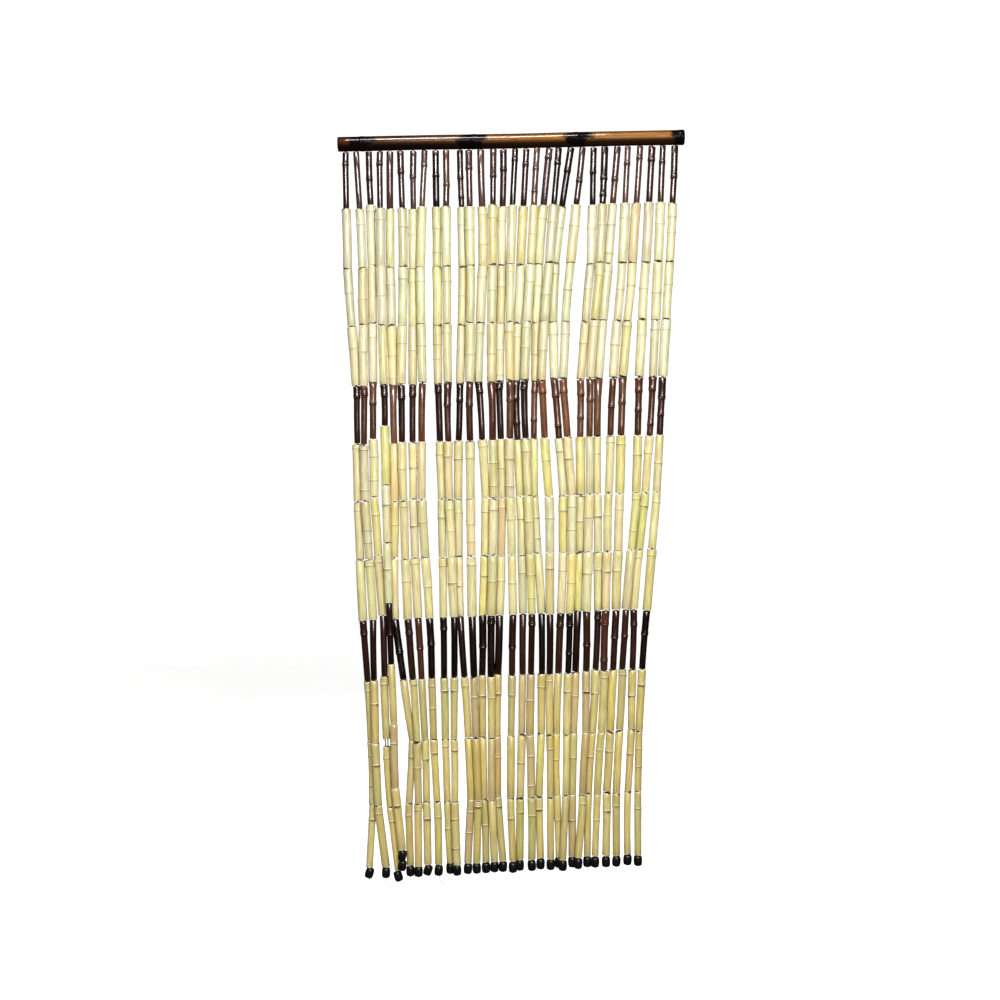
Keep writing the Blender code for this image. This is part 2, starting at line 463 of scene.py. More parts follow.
class Graph:
    """A material's nodes, added and linked by short calls."""

    def __init__(self, name: str) -> None:
        """Make a material of that name, with its shader.

        Args:
            name: The material's name.
        """
        self.material = bpy.data.materials.new(name)
        self.material.use_nodes = True
        self.tree = self.material.node_tree
        self.shader = self.tree.nodes["Principled BSDF"]

    def add(self, kind: str, inputs: dict | None = None, **settings: object) -> bpy.types.Node:
        """Add a node.

        Args:
            kind: Its type.
            inputs: Sockets by name or number, each with a socket to link or a value to set.
            settings: Its own properties.

        Returns:
            The node.
        """
        node = self.tree.nodes.new(kind)
        for key, value in settings.items():
            setattr(node, key, value)
        for key, value in (inputs or {}).items():
            self.feed(node.inputs[key], value)
        return node

    def feed(self, socket: Socket, value: object) -> None:
        """Link a socket to another, or set its value, a colour with full alpha.

        Args:
            socket: The input.
            value: Another node's output or a constant.
        """
        if isinstance(value, Socket):
            self.tree.links.new(value, socket)
        else:
            socket.default_value = (*value, 1.0) if socket.type == "RGBA" else value

    def attribute(self, name: str, output: str) -> Socket:
        """Read a named attribute of the mesh."""
        return self.add("ShaderNodeAttribute", attribute_name=name).outputs[output]

    def object_place(self) -> Socket:
        """The surface's place in the piece's own frame."""
        return self.add("ShaderNodeTexCoord").outputs["Object"]

    def split(self, vector: Socket) -> Sockets:
        """Split a vector into X, Y and Z."""
        return self.add("ShaderNodeSeparateXYZ", {"Vector": vector}).outputs

    def calc(self, operation: str, *values: object) -> Socket:
        """Work out a number from one to three others."""
        return self.add("ShaderNodeMath", dict(enumerate(values)), operation=operation).outputs[0]

    def product(self, *values: object) -> Socket:
        """Multiply numbers, from the first to the last."""
        return reduce(lambda one, other: self.calc("MULTIPLY", one, other), values)

    def vector(self, operation: str, one: object, other: object) -> Socket:
        """Work out a vector from two others."""
        return self.add("ShaderNodeVectorMath", {0: one, 1: other}, operation=operation).outputs[0]

    def ramp(self, value: object, start: float, end: float, low: float, high: float) -> Socket:
        """Turn a number's range into another, softly and held at both ends."""
        inputs = {"Value": value, "From Min": start, "From Max": end, "To Min": low, "To Max": high}
        return self.add("ShaderNodeMapRange", inputs, interpolation_type="SMOOTHSTEP").outputs[0]

    def noise(self, vector: object, scale: float, detail: float = 2.0) -> Socket:
        """Noise from 0 to 1 on a vector."""
        inputs = {"Vector": vector, "Scale": scale, "Detail": detail}
        return self.add("ShaderNodeTexNoise", inputs).outputs["Fac"]

    def streaks(self, vector: object, grain: Triple) -> Socket:
        """Noise from 0 to 1 drawn out along Z, from its pace there, its scale and its detail."""
        return self.noise(self.vector("MULTIPLY", vector, (1.0, 1.0, grain[0])), *grain[1:])

    def mix(self, share: object, one: object, other: object, blend: str = "MIX") -> Socket:
        """Mix two colours.

        Args:
            share: How much of the second shows.
            one: First colour.
            other: Second colour.
            blend: How they are mixed.

        Returns:
            The mixed colour's socket.
        """
        node = self.add("ShaderNodeMix", data_type="RGBA", blend_type=blend)
        for number, value in ((0, share), (6, one), (7, other)):
            self.feed(node.inputs[number], value)
        return node.outputs[2]

    def bump(self, height: Socket, strength: float, distance: float) -> None:
        """Raise the surface by a height pattern."""
        inputs = {"Height": height, "Strength": strength, "Distance": distance}
        self.feed(self.shader.inputs["Normal"], self.add("ShaderNodeBump", inputs).outputs["Normal"])

    def finish(self, colour: object, roughness: object, **sockets: object) -> Material:
        """Feed the shader.

        Args:
            colour: Base colour.
            roughness: Roughness.
            sockets: What else it takes by socket name, with underscores for spaces.

        Returns:
            The material.
        """
        for name, value in {"Base_Color": colour, "Roughness": roughness, **sockets}.items():
            self.feed(self.shader.inputs[name.replace("_", " ")], value)
        return self.material


@dataclass(frozen=True)
class BambooSkin:
    """The outer skin of thin bamboo: fine fibres, soft blotches, the marks of its nodes and ends, and painted
    shade over one side of each end.
    """

    name: str
    roughness: float
    coat: float
    sheen: Colour
    fibre: float
    relief: float
    blotch: Colour
    blotch_share: float
    warm: Colour
    cool: Colour
    node_line: Colour
    node_share: float
    ridge: Colour
    ridge_share: float
    # Colour of the bud scars, also used for the painted shade at the ends.
    scar_and_shade: Colour
    scar_share: float
    end_shade_share: float
    fibre_grain: Triple = (0.04, 520.0, 3.0)
    cloud_grain: Triple = (0.3, 70.0, 2.0)
    side_grain: Triple = (0.0, 75.0, 0.0)
    coat_roughness: float = 0.15
    line_drop: float = 0.0008
    line_edge: Pair = (0.0005, 0.0018)
    ridge_lift: float = 0.0018
    ridge_edge: Pair = (0.0008, 0.0019)
    bud_side: Pair = (0.0050, 0.0085)
    bud_foot: Pair = (-0.009, -0.002)
    bud_top: Pair = (0.0, 0.001)
    rim_edge: Pair = (0.0014, 0.0028)
    creep: Pair = (-0.0006, 0.0026)

    def cloudy(self, graph: Graph, own: Socket) -> tuple[Socket, Socket]:
        """Fibres and blotches over the tube's own colour.

        Args:
            graph: The material's nodes.
            own: Place in the tube's own frame, shifted by its seed.

        Returns:
            The colour's socket and the fibres' socket.
        """
        fibres = graph.streaks(own, self.fibre_grain)
        clouds = graph.streaks(own, self.cloud_grain)
        tone = graph.ramp(fibres, 0.3, 0.7, 1.0 - self.fibre, 1.0)
        colour = graph.mix(1.0, graph.attribute("tube_colour", "Color"), tone, "MULTIPLY")
        blotch = graph.ramp(clouds, 0.46, 0.72, 0.0, self.blotch_share)
        blotch = graph.product(blotch, graph.attribute("mark_strength", "Fac"))
        return graph.mix(blotch, colour, self.blotch), fibres

    def tinted(self, graph: Graph, colour: Socket, height: Socket, traits: tuple[Socket, ...]) -> Socket:
        """Shift the colour from one side of a node to the other, warmer here and cooler there.

        Args:
            graph: The material's nodes.
            colour: The colour so far.
            height: Height above the tube's foot.
            traits: The tube's seed and the heights of its nodes.

        Returns:
            The tinted colour's socket.
        """
        key = graph.product(traits[0], 3.7)
        for node in traits[1:]:
            key = graph.calc("MULTIPLY_ADD", graph.calc("GREATER_THAN", height, node), 5.3, key)
        for tint, row in ((self.warm, 0.0), (self.cool, 9.0)):
            spot = graph.add("ShaderNodeCombineXYZ", {"X": key, "Y": row}).outputs[0]
            share = graph.ramp(graph.noise(spot, 1.0, 0.0), 0.48, 0.66, 0.0, 1.0)
            colour = graph.mix(share, colour, tint, "MULTIPLY")
        return colour

    def node_marks(self, graph: Graph, place: Sockets, nodes: list[Socket]) -> list[Socket]:
        """Line, pale ridge and bud scar of the tube's nodes.

        Args:
            graph: The material's nodes.
            place: X, Y and Z in the tube's own frame.
            nodes: Heights of its nodes.

        Returns:
            Sockets from 0 to 1 for the line, the ridge and the scar.
        """
        marks: list[object] = [0.0, 0.0, 0.0]
        side = graph.ramp(place["X"], *self.bud_side, 0.0, 1.0)
        for node in nodes:
            rise = graph.calc("SUBTRACT", place["Z"], node)
            from_line = graph.calc("ABSOLUTE", graph.calc("ADD", rise, self.line_drop))
            from_ridge = graph.calc("ABSOLUTE", graph.calc("SUBTRACT", rise, self.ridge_lift))
            below = graph.ramp(rise, *self.bud_foot, 0.0, 1.0)
            found = (
                graph.ramp(from_line, *self.line_edge, 1.0, 0.0),
                graph.ramp(from_ridge, *self.ridge_edge, 1.0, 0.0),
                graph.product(below, graph.ramp(rise, *self.bud_top, 1.0, 0.0), side),
            )
            marks = [graph.calc("MAXIMUM", old, new) for old, new in zip(marks, found)]
        return marks

    def end_marks(self, graph: Graph, own: Socket, height: Socket) -> tuple[Socket, Socket]:
        """Pale rims of the cut ends, and the painted shade that creeps over them on one side.

        Args:
            graph: The material's nodes.
            own: Place in the tube's own frame, shifted by its seed.
            height: Height above the tube's foot.

        Returns:
            Sockets from 0 to 1 for the rims and the painted shade.
        """
        length = graph.attribute("tube_colour", "Alpha")
        to_end = graph.calc("MINIMUM", height, graph.calc("SUBTRACT", length, height))
        rim = graph.ramp(to_end, *self.rim_edge, 1.0, 0.0)
        reach = graph.ramp(graph.streaks(own, self.side_grain), 0.50, 0.70, *self.creep)
        # Painted shade: a dark band at each end, wider on one side, where a joint would lie in shadow.
        return rim, graph.ramp(graph.calc("SUBTRACT", to_end, reach), 0.0, 0.0006, self.end_shade_share, 0.0)

    def build(self) -> Material:
        """Build the material on the tube's own grain, colour and traits.

        Returns:
            The material.
        """
        graph = Graph(self.name)
        grain = graph.attribute("grain", "Vector")
        place = graph.split(grain)
        seed, *nodes = graph.split(graph.attribute("tube_traits", "Vector"))
        strength = graph.attribute("mark_strength", "Fac")
        shift = graph.add("ShaderNodeCombineXYZ", {"X": seed, "Y": seed, "Z": seed}).outputs[0]
        own = graph.vector("ADD", grain, shift)
        colour, fibres = self.cloudy(graph, own)
        colour = self.tinted(graph, colour, place["Z"], (seed, *nodes))
        line, ridge, scar_and_shade = self.node_marks(graph, place, nodes)
        rim, shade = self.end_marks(graph, own, place["Z"])
        pale = graph.product(graph.calc("MAXIMUM", ridge, rim), self.ridge_share, strength)
        colour = graph.mix(pale, colour, self.ridge)
        colour = graph.mix(graph.product(line, self.node_share, strength), colour, self.node_line)
        scarred = graph.product(strength, strength, self.scar_share)
        # The scar colour also lays the painted shade over the ends.
        colour = graph.mix(graph.calc("MAXIMUM", graph.product(scar_and_shade, scarred), shade), colour, self.scar_and_shade)
        rough = graph.ramp(fibres, 0.2, 0.8, self.roughness - 0.05, self.roughness + 0.09)
        graph.bump(fibres, self.relief, 0.0002)
        coat = {"Coat_Weight": self.coat, "Coat_Roughness": self.coat_roughness}
        return graph.finish(colour, rough, Specular_Tint=self.sheen, **coat)


@dataclass(frozen=True)
class SawnEnd:
    """The sawn rim of a tube, pale pith with fine dark pores, and its bore darkened with painted shade."""

    name: str
    wood: Colour
    pores: Colour
    # Colour of the painted shade inside the bore.
    bore: Colour
    bore_radius: float
    pore_grain: Triple = (0.08, 2400.0, 1.0)

    def build(self) -> Material:
        """Build the material on the tube's own grain.

        Returns:
            The material.
        """
        graph = Graph(self.name)
        grain = graph.attribute("grain", "Vector")
        pores = graph.streaks(grain, self.pore_grain)
        colour = graph.mix(graph.ramp(pores, 0.5, 0.66, 0.0, 0.6), self.wood, self.pores)
        across = graph.vector("MULTIPLY", grain, (1.0, 1.0, 0.0))
        reach = graph.add("ShaderNodeVectorMath", {0: across}, operation="LENGTH").outputs["Value"]
        # Painted shade: inside the bore's radius the colour turns to the dark bore colour.
        painted_bore_shade = graph.ramp(reach, self.bore_radius, self.bore_radius * 1.08, 1.0, 0.0)
        rough = graph.ramp(pores, 0.2, 0.8, 0.62, 0.8)
        return graph.finish(graph.mix(painted_bore_shade, colour, self.bore), rough, Specular_IOR_Level=0.3)


@dataclass(frozen=True)
class PoleSkin:
    """Varnished bamboo with black scorched bands and browner to the left, with painted shade blackening its
    underside and darkening its top edge.
    """

    name: str
    left: Colour
    right: Colour
    # Colour of the scorched bands, also laid on as painted shade under the pole and along its top edge.
    scorch_and_shade: Colour
    node_line: Colour
    bands: tuple[Triple, ...]
    nodes: tuple[float, ...]
    length: float
    radius: float
    edge: float = 0.011
    wander: float = 0.012
    fibre_grain: Triple = (0.05, 340.0, 3.0)
    cloud_grain: Triple = (0.45, 55.0, 3.0)

    def band_share(self, graph: Graph, along: Socket) -> Socket:
        """How scorched the pole is at a place along it.

        Args:
            graph: The material's nodes.
            along: Distance from the left end.

        Returns:
            A socket from 0 to 1.
        """
        total: object = 0.0
        for start, end, depth in self.bands:
            rise = graph.ramp(along, start - self.edge, start + self.edge, 0.0, depth)
            fall = graph.ramp(along, end - self.edge, end + self.edge, 1.0, 0.0)
            total = graph.calc("MAXIMUM", total, graph.product(rise, fall))
        return total

    def up_ramp(self, graph: Graph, up: Socket, start: float, end: float, low: float, high: float) -> Socket:
        """A ramp over the pole's height, from one share of its radius to another."""
        return graph.ramp(up, start * self.radius, end * self.radius, low, high)

    def build(self) -> Material:
        """Build the material on the pole's own grain.

        Returns:
            The material.
        """
        graph = Graph(self.name)
        grain = graph.attribute("grain", "Vector")
        place = graph.split(grain)
        fibres = graph.streaks(grain, self.fibre_grain)
        clouds = graph.streaks(grain, self.cloud_grain)
        along = graph.calc("ADD", place["Z"], graph.ramp(clouds, 0.25, 0.75, -self.wander, self.wander))
        skin = graph.mix(graph.ramp(along, 0.1, 0.75 * self.length, 0.0, 1.0), self.left, self.right)
        skin = graph.mix(1.0, skin, graph.ramp(fibres, 0.3, 0.7, 0.72, 1.0), "MULTIPLY")
        skin = graph.mix(graph.ramp(clouds, 0.5, 0.75, 0.0, 0.45), skin, self.left)
        for node in self.nodes:
            gap = graph.calc("ABSOLUTE", graph.calc("SUBTRACT", place["Z"], node))
            skin = graph.mix(graph.ramp(gap, 0.0008, 0.0026, 0.5, 0.0), skin, self.node_line)
        # Painted shade: the scorch colour darkens the underside, as shade under light from above, and darkens
        # the top edge.
        painted_under_shade = self.up_ramp(graph, place["Y"], -0.60, 0.40, 0.97, 0.0)
        painted_top_shade = self.up_ramp(graph, place["Y"], 0.40, 0.72, 0.0, 0.6)
        bands = self.band_share(graph, along)
        black = graph.calc("MAXIMUM", bands, graph.calc("MAXIMUM", painted_under_shade, painted_top_shade))
        gloss = self.up_ramp(graph, place["Y"], 0.08, 0.26, 0.04, 1.0)
        gloss = graph.product(gloss, graph.ramp(bands, 0.0, 1.0, 1.0, 0.4))
        graph.bump(fibres, 0.2, 0.0003)
        return graph.finish(
            graph.mix(black, skin, self.scorch_and_shade),
            graph.ramp(clouds, 0.3, 0.7, 0.24, 0.34),
            Coat_Weight=gloss,
            Coat_Roughness=0.10,
            Coat_IOR=1.6,
            Specular_IOR_Level=graph.product(gloss, 0.3),
        )


@dataclass(frozen=True)
class StainedWood:
    """Turned wood under a black stain that wears brown in places."""

    name: str
    stain: Colour
    worn: Colour
    wood_grain: Triple = (0.15, 900.0, 2.0)

    def build(self) -> Material:
        """Build the material on the piece's own place.

        Returns:
            The material.
        """
        graph = Graph(self.name)
        place = graph.object_place()
        grain = graph.streaks(place, self.wood_grain)
        wear = graph.ramp(graph.noise(place, 160.0), 0.55, 0.75, 0.0, 0.5)
        colour = graph.mix(wear, self.stain, self.worn)
        rough = graph.ramp(grain, 0.2, 0.8, 0.28, 0.44)
        graph.bump(grain, 0.3, 0.0002)
        return graph.finish(colour, rough, Coat_Weight=0.25, Coat_Roughness=0.2)


@dataclass(frozen=True)
class TwistedCord:
    """Thin cord, its twist shown as slanting ridges."""

    name: str
    yarn: Colour
    shade: Colour

    def build(self) -> Material:
        """Build the material on the piece's own place.

        Returns:
            The material.
        """
        graph = Graph(self.name)
        inputs = {"Vector": graph.object_place(), "Scale": 260.0, "Distortion": 2.0, "Detail": 1.0}
        twist = graph.add("ShaderNodeTexWave", inputs, bands_direction="Z").outputs["Fac"]
        graph.bump(twist, 0.6, 0.0003)
        rough = graph.ramp(twist, 0.0, 1.0, 0.7, 0.9)
        return graph.finish(graph.mix(twist, self.shade, self.yarn), rough, Specular_IOR_Level=0.25)


@dataclass(frozen=True)
class PaleBackdrop:
    """A plain pale studio surface that glows a little."""

    name: str
    tone: Colour
    cloud: Colour
    glow: float

    def build(self) -> Material:
        """Build the material.

        Returns:
            The material.
        """
        graph = Graph(self.name)
        clouds = graph.ramp(graph.noise(graph.object_place(), 3.0), 0.3, 0.7, 0.0, 0.02)
        colour = graph.mix(clouds, self.tone, self.cloud)
        glow = {"Emission_Color": self.tone, "Emission_Strength": self.glow}
        return graph.finish(colour, 0.9, Specular_IOR_Level=0.1, **glow)


# Tubes


@dataclass(frozen=True)
class NodeRidge:
    """The raised scar at a bamboo node: height from the scar line and how far the skin stands out."""

    profile: Pairs

    @property
    def below(self) -> float:
        """How far the ridge reaches below its scar line."""
        return -self.profile[0][0]

    @property
    def above(self) -> float:
        """How far the ridge reaches above its scar line."""
        return self.profile[-1][0]

    def marks(self, nodes: tuple[float, ...]) -> list[Pair]:
        """Heights and rises of the rings of every node."""
        return [(node + step, rise) for node in nodes for step, rise in self.profile]


RIDGE = NodeRidge((
    (-0.0080, 0.0), (-0.0034, 0.00030), (-0.0015, 0.00075),
    (0.0, 0.00150), (0.0012, 0.00065), (0.0024, 0.00050),
    (0.0040, 0.00100), (0.0060, 0.00050), (0.0095, 0.0),
))
PATTERN_NODES = {0: (), 1: (0.5,), 2: (0.3, 0.7)}
RIDGE_SHARES = {Slot.NATURAL: 0.6, Slot.DARK: 1.2}


@dataclass
class TubePattern:
    """A pattern tube, open right through, with rings for its nodes. Copies are fitted to each span."""

    name: str
    node_shares: tuple[float, ...]
    radius: float = 0.010
    length: float = 0.150
    wall: float = 0.0026
    sides: int = 20
    edge: float = 0.0005
    ridge_share: float = 1.0
    rests: Pair = (0.33, 0.67)

    def nodes(self) -> tuple[float, ...]:
        """Heights of the pattern's nodes."""
        return tuple(share * self.length for share in self.node_shares)

    def rest_heights(self) -> list[float]:
        """Heights of the plain rings between the nodes and the ends.

        Returns:
            The heights, from the foot up.
        """
        stops = [0.0, *self.nodes(), self.length]
        heights = []
        for low, high in zip(stops, stops[1:]):
            low_end = low + (RIDGE.above if low > 0 else 0.0)
            high_end = high - (RIDGE.below if high < self.length else 0.0)
            heights += [low_end + (high_end - low_end) * share for share in self.rests]
        return heights

    def build(self) -> Item:
        """Model the pattern tube, with the second material slot on its rims and its bore.

        Returns:
            The pattern, standing on the origin.
        """
        item = upright_cylinder(self.name, self.sides, self.radius, self.length)
        ridges = RIDGE.marks(self.nodes())
        with Bench(item) as bench:
            bench.cut([*self.rest_heights(), *[height for height, _ in ridges]])
            for height, rise in ridges:
                bench.swell(height, 1 + rise * self.ridge_share / self.radius)
            bench.open_through(self.length, self.radius, self.wall, self.edge)
        smooth(item, SHARP)
        mark_sawn(item.data, self.length, self.radius - 0.8 * self.wall)
        return item


def mark_sawn(mesh: Mesh, length: float, reach: float) -> None:
    """Give the second slot to the flat ends of an upright culm and to all within a reach of its axis."""
    for face in mesh.polygons:
        face.material_index = int(at_height(face.center, 0.0, length) or off_axis(face.center) < reach)


@dataclass(frozen=True)
class TubeLook:
    """How the tubes of a row look.

    The weights choose a colour, and none, one or two nodes. The others say how far below the tube's top
    its upper node may lie, how strong the marks of nodes and ends are, how much thicker the tube is above
    its node, how far its top flares and how far it bows and kinks.
    """

    slot: Slot
    colours: tuple[Colour, ...]
    weights: tuple[float, ...]
    node_weights: Triple
    from_top: Pair
    marks: float
    step: Pair
    flare: float
    bow: float
    kink: float


CREAM = (0.80, 0.73, 0.43)
PALE = (0.81, 0.76, 0.50)
BUTTER = (0.80, 0.72, 0.36)
YELLOW = (0.80, 0.72, 0.28)
PEACH = (0.82, 0.68, 0.36)
STRAW = (0.71, 0.585, 0.22)
GOLD = (0.73, 0.615, 0.25)
KHAKI = (0.59, 0.515, 0.20)
BUFF = (0.63, 0.49, 0.23)
SOOT = (0.009, 0.004, 0.003)
UMBER = (0.032, 0.012, 0.007)
RUSSET = (0.100, 0.034, 0.017)
CHESTNUT = (0.190, 0.078, 0.038)
AMBER = (0.270, 0.115, 0.035)
COCOA = (0.070, 0.034, 0.026)
MAUVE = (0.125, 0.072, 0.060)


class RowLook(Enum):
    """The looks of the tube rows."""

    TOP_DARK = TubeLook(
        Slot.DARK, (SOOT, UMBER, COCOA, MAUVE), (0.2, 0.3, 0.35, 0.15), (0.2, 0.7, 0.1),
        from_top=(0.15, 0.65), marks=0.5, step=(-0.05, 0.12), flare=0.05, bow=0.0010, kink=0.0018,
    )
    UPPER = TubeLook(
        Slot.NATURAL, (CREAM, PALE, BUTTER, PEACH), (0.45, 0.3, 0.15, 0.1), (0.15, 0.75, 0.1),
        from_top=(0.08, 0.55), marks=0.45, step=(-0.04, 0.08), flare=0.03, bow=0.0010, kink=0.0016,
    )
    MIDDLE_DARK = TubeLook(
        Slot.DARK, (SOOT, UMBER, RUSSET, CHESTNUT, AMBER), (0.05, 0.25, 0.38, 0.28, 0.04), (0.05, 0.65, 0.3),
        from_top=(0.10, 0.50), marks=0.9, step=(0.03, 0.16), flare=0.22, bow=0.0013, kink=0.0022,
    )
    MIDDLE = TubeLook(
        Slot.NATURAL, (CREAM, BUTTER, YELLOW, PEACH), (0.25, 0.42, 0.23, 0.1), (0.12, 0.78, 0.1),
        from_top=(0.08, 0.5), marks=0.75, step=(-0.04, 0.09), flare=0.03, bow=0.0010, kink=0.0018,
    )
    LOW_DARK = TubeLook(
        Slot.DARK, (SOOT, UMBER, RUSSET), (0.55, 0.35, 0.10), (0.3, 0.6, 0.1),
        from_top=(0.10, 0.60), marks=0.35, step=(0.0, 0.10), flare=0.08, bow=0.0011, kink=0.0014,
    )
    LOWER = TubeLook(
        Slot.NATURAL, (STRAW, GOLD, KHAKI, BUFF), (0.45, 0.25, 0.15, 0.15), (0.25, 0.7, 0.05),
        from_top=(0.08, 0.45), marks=1.0, step=(-0.04, 0.10), flare=0.04, bow=0.0011, kink=0.0018,
    )


ROW_LOOKS = (
    RowLook.TOP_DARK, *[RowLook.UPPER] * 3,
    RowLook.MIDDLE_DARK, *[RowLook.MIDDLE] * 3,
    RowLook.LOW_DARK, *[RowLook.LOWER] * 3,
)


@dataclass
class TubeFitter:
    """Fits copies of the pattern tubes to the spans of the solids."""

    patterns: dict[tuple[Slot, int], Item]
    sizes: TubePattern
    finishes: dict[Slot, tuple[Material, Material]]
    rng: random.Random
    end_reach: float = 0.0011
    slant: float = 0.15
    near: float = 0.012
    flare_reach: float = 0.008
    no_node: float = -1.0
    second_node: Pair = (0.2, 0.65)
    bend: Pair = (0.2, 1.0)
    tone: Pair = (0.88, 1.08)
    hue: Pair = (0.97, 1.03)
    mark_range: Pair = (0.6, 1.0)
    last_seed: float = 9.0

    def node_places(self, look: TubeLook, length: float) -> list[float]:
        """Choose how many nodes a tube has, from none to two, and their heights above its foot.

        Args:
            look: Its row's look.
            length: The tube's length.

        Returns:
            The heights, from the lowest up.
        """
        count = self.rng.choices((0, 1, 2), look.node_weights)[0]
        upper = length * (1 - self.rng.uniform(*look.from_top))
        return [upper * self.rng.uniform(*self.second_node), upper][2 - count :]

    def remapped(self, heights: np.ndarray, nodes: list[float], length: float) -> np.ndarray:
        """Slide the pattern's nodes to their new places, with each ridge kept at its real size.

        Args:
            heights: Heights of the pattern's vertices.
            nodes: New heights of its nodes.
            length: The tube's new length.

        Returns:
            The new heights.
        """
        known, wanted = [0.0], [0.0]
        for share, new in zip(PATTERN_NODES[len(nodes)], nodes):
            old = share * self.sizes.length
            known += [old - RIDGE.below, old + RIDGE.above]
            wanted += [new - RIDGE.below, new + RIDGE.above]
        return np.interp(heights, [*known, self.sizes.length], [*wanted, length])

    def saw_slant(self, spread: np.ndarray, heights: np.ndarray, length: float) -> np.ndarray:
        """Cut both ends back on one side, as sawn by eye.

        Args:
            spread: Places across the tube.
            heights: Heights along it.
            length: The tube's length.

        Returns:
            How far each vertex moves along the tube.
        """
        moves = np.zeros(len(heights))
        reach = float(np.abs(spread).max())
        for end, inward in ((0.0, 1), (length, -1)):
            way = self.rng.uniform(0, math.tau)
            tip = self.slant * self.rng.random() ** 2 * inward
            nearness = np.clip(1 - np.abs(heights - end) / self.near, 0, 1)
            moves += nearness * tip * (reach + spread[:, 0] * math.cos(way) + spread[:, 1] * math.sin(way))
        return moves

    def girth(self, span: TubeSpan, look: TubeLook, heights: np.ndarray, nodes: list[float]) -> np.ndarray:
        """How thick the tube is along its length, as a share of the pattern's radius.

        Args:
            span: Where it hangs.
            look: Its row's look.
            heights: The vertices' heights.
            nodes: Heights of its nodes.

        Returns:
            One share for each vertex.
        """
        length = heights.max()
        radius = span.foot.radius + (span.top.radius - span.foot.radius) * heights / length
        flare = look.flare * self.rng.random() * np.exp((heights - length) / self.flare_reach)
        step = self.rng.uniform(*look.step)
        above = np.clip((heights - nodes[-1]) / self.near + 0.5, 0, 1) - 0.5 if nodes else 0.0
        return radius / self.sizes.radius * (1 + flare) * (1 + step * above)

    def fit(self, name: str, span: TubeSpan, look: TubeLook) -> Item:
        """Copy a pattern tube onto a span.

        Args:
            name: The copy's name.
            span: Where it hangs.
            look: Its row's look.

        Returns:
            The tube, with its grain, colour and traits as attributes.
        """
        rng = self.rng
        axis = (span.top.centre - span.foot.centre).normalized()
        foot = span.foot.centre - axis * self.end_reach
        length = (span.top.centre - foot).length + self.end_reach
        nodes = self.node_places(look, length)
        pattern = self.patterns[look.slot, len(nodes)]
        places = vertex_places(pattern.data)
        heights = self.remapped(places[:, 2], nodes, length)
        share = heights / length
        turn = rng.uniform(0, math.tau)
        spread = places[:, :2] * self.girth(span, look, heights, nodes)[:, None]
        spread = spread @ np.array([[math.cos(turn), math.sin(turn)], [-math.sin(turn), math.cos(turn)]])
        bow_way, kink_way = rng.uniform(0, math.tau), rng.uniform(0, math.tau)
        bow = look.bow * rng.uniform(*self.bend) * 4 * share * (1 - share)
        peak = nodes[-1] / length if nodes else 0.5
        kink = look.kink * rng.uniform(*self.bend) * np.minimum(share / peak, (1 - share) / (1 - peak))
        spread[:, 0] += bow * math.cos(bow_way) + kink * math.cos(kink_way)
        spread[:, 1] += bow * math.sin(bow_way) + kink * math.sin(kink_way)
        across = (Vector((1, 0, 0)) - axis * axis.x).normalized()
        basis = np.array([across[:], axis.cross(across)[:], axis[:]])
        local = np.column_stack([spread, heights + self.saw_slant(spread, heights, length)])
        item = copy_with_places(pattern, name, local @ basis + np.array(foot[:]))
        paint(item.data, "grain", np.column_stack([places[:, :2], heights]))
        self.dress(item, nodes, length, look)
        return item

    def dress(self, item: Item, nodes: list[float], length: float, look: TubeLook) -> None:
        """Give a tube its materials and the traits that they read. The colour's alpha holds its length.

        Args:
            item: The tube.
            nodes: Heights of its nodes.
            length: Its length.
            look: Its row's look.
        """
        rng = self.rng
        tone = rng.uniform(*self.tone)
        base = rng.choices(look.colours, look.weights)[0]
        traits = {
            "tube_colour": [*(min(1.0, part * tone * rng.uniform(*self.hue)) for part in base), length],
            "mark_strength": [look.marks * rng.uniform(*self.mark_range)],
            "tube_traits": [rng.uniform(0, self.last_seed), *(nodes + [self.no_node] * 2)[:2]],
        }
        for name, row in traits.items():
            paint(item.data, name, np.tile(row, (len(item.data.vertices), 1)))
        coat(item, *self.finishes[look.slot])


# Cords, knots and beads


@dataclass(frozen=True)
class Tail:
    """A thread end that hangs below a knot: its strand, length, and drift to the right and the front."""

    strand: int
    length: float
    right: float
    front: float


LONG_TAILS = (
    Tail(1, 0.013, -0.002, 0.001),
    Tail(2, 0.012, 0.003, 0.002),
    Tail(5, 0.011, 0.002, 0.0),
    Tail(8, 0.024, 0.014, 0.003),
    Tail(28, 0.012, -0.003, 0.002),
)
SHORT_TAIL = 0.0030


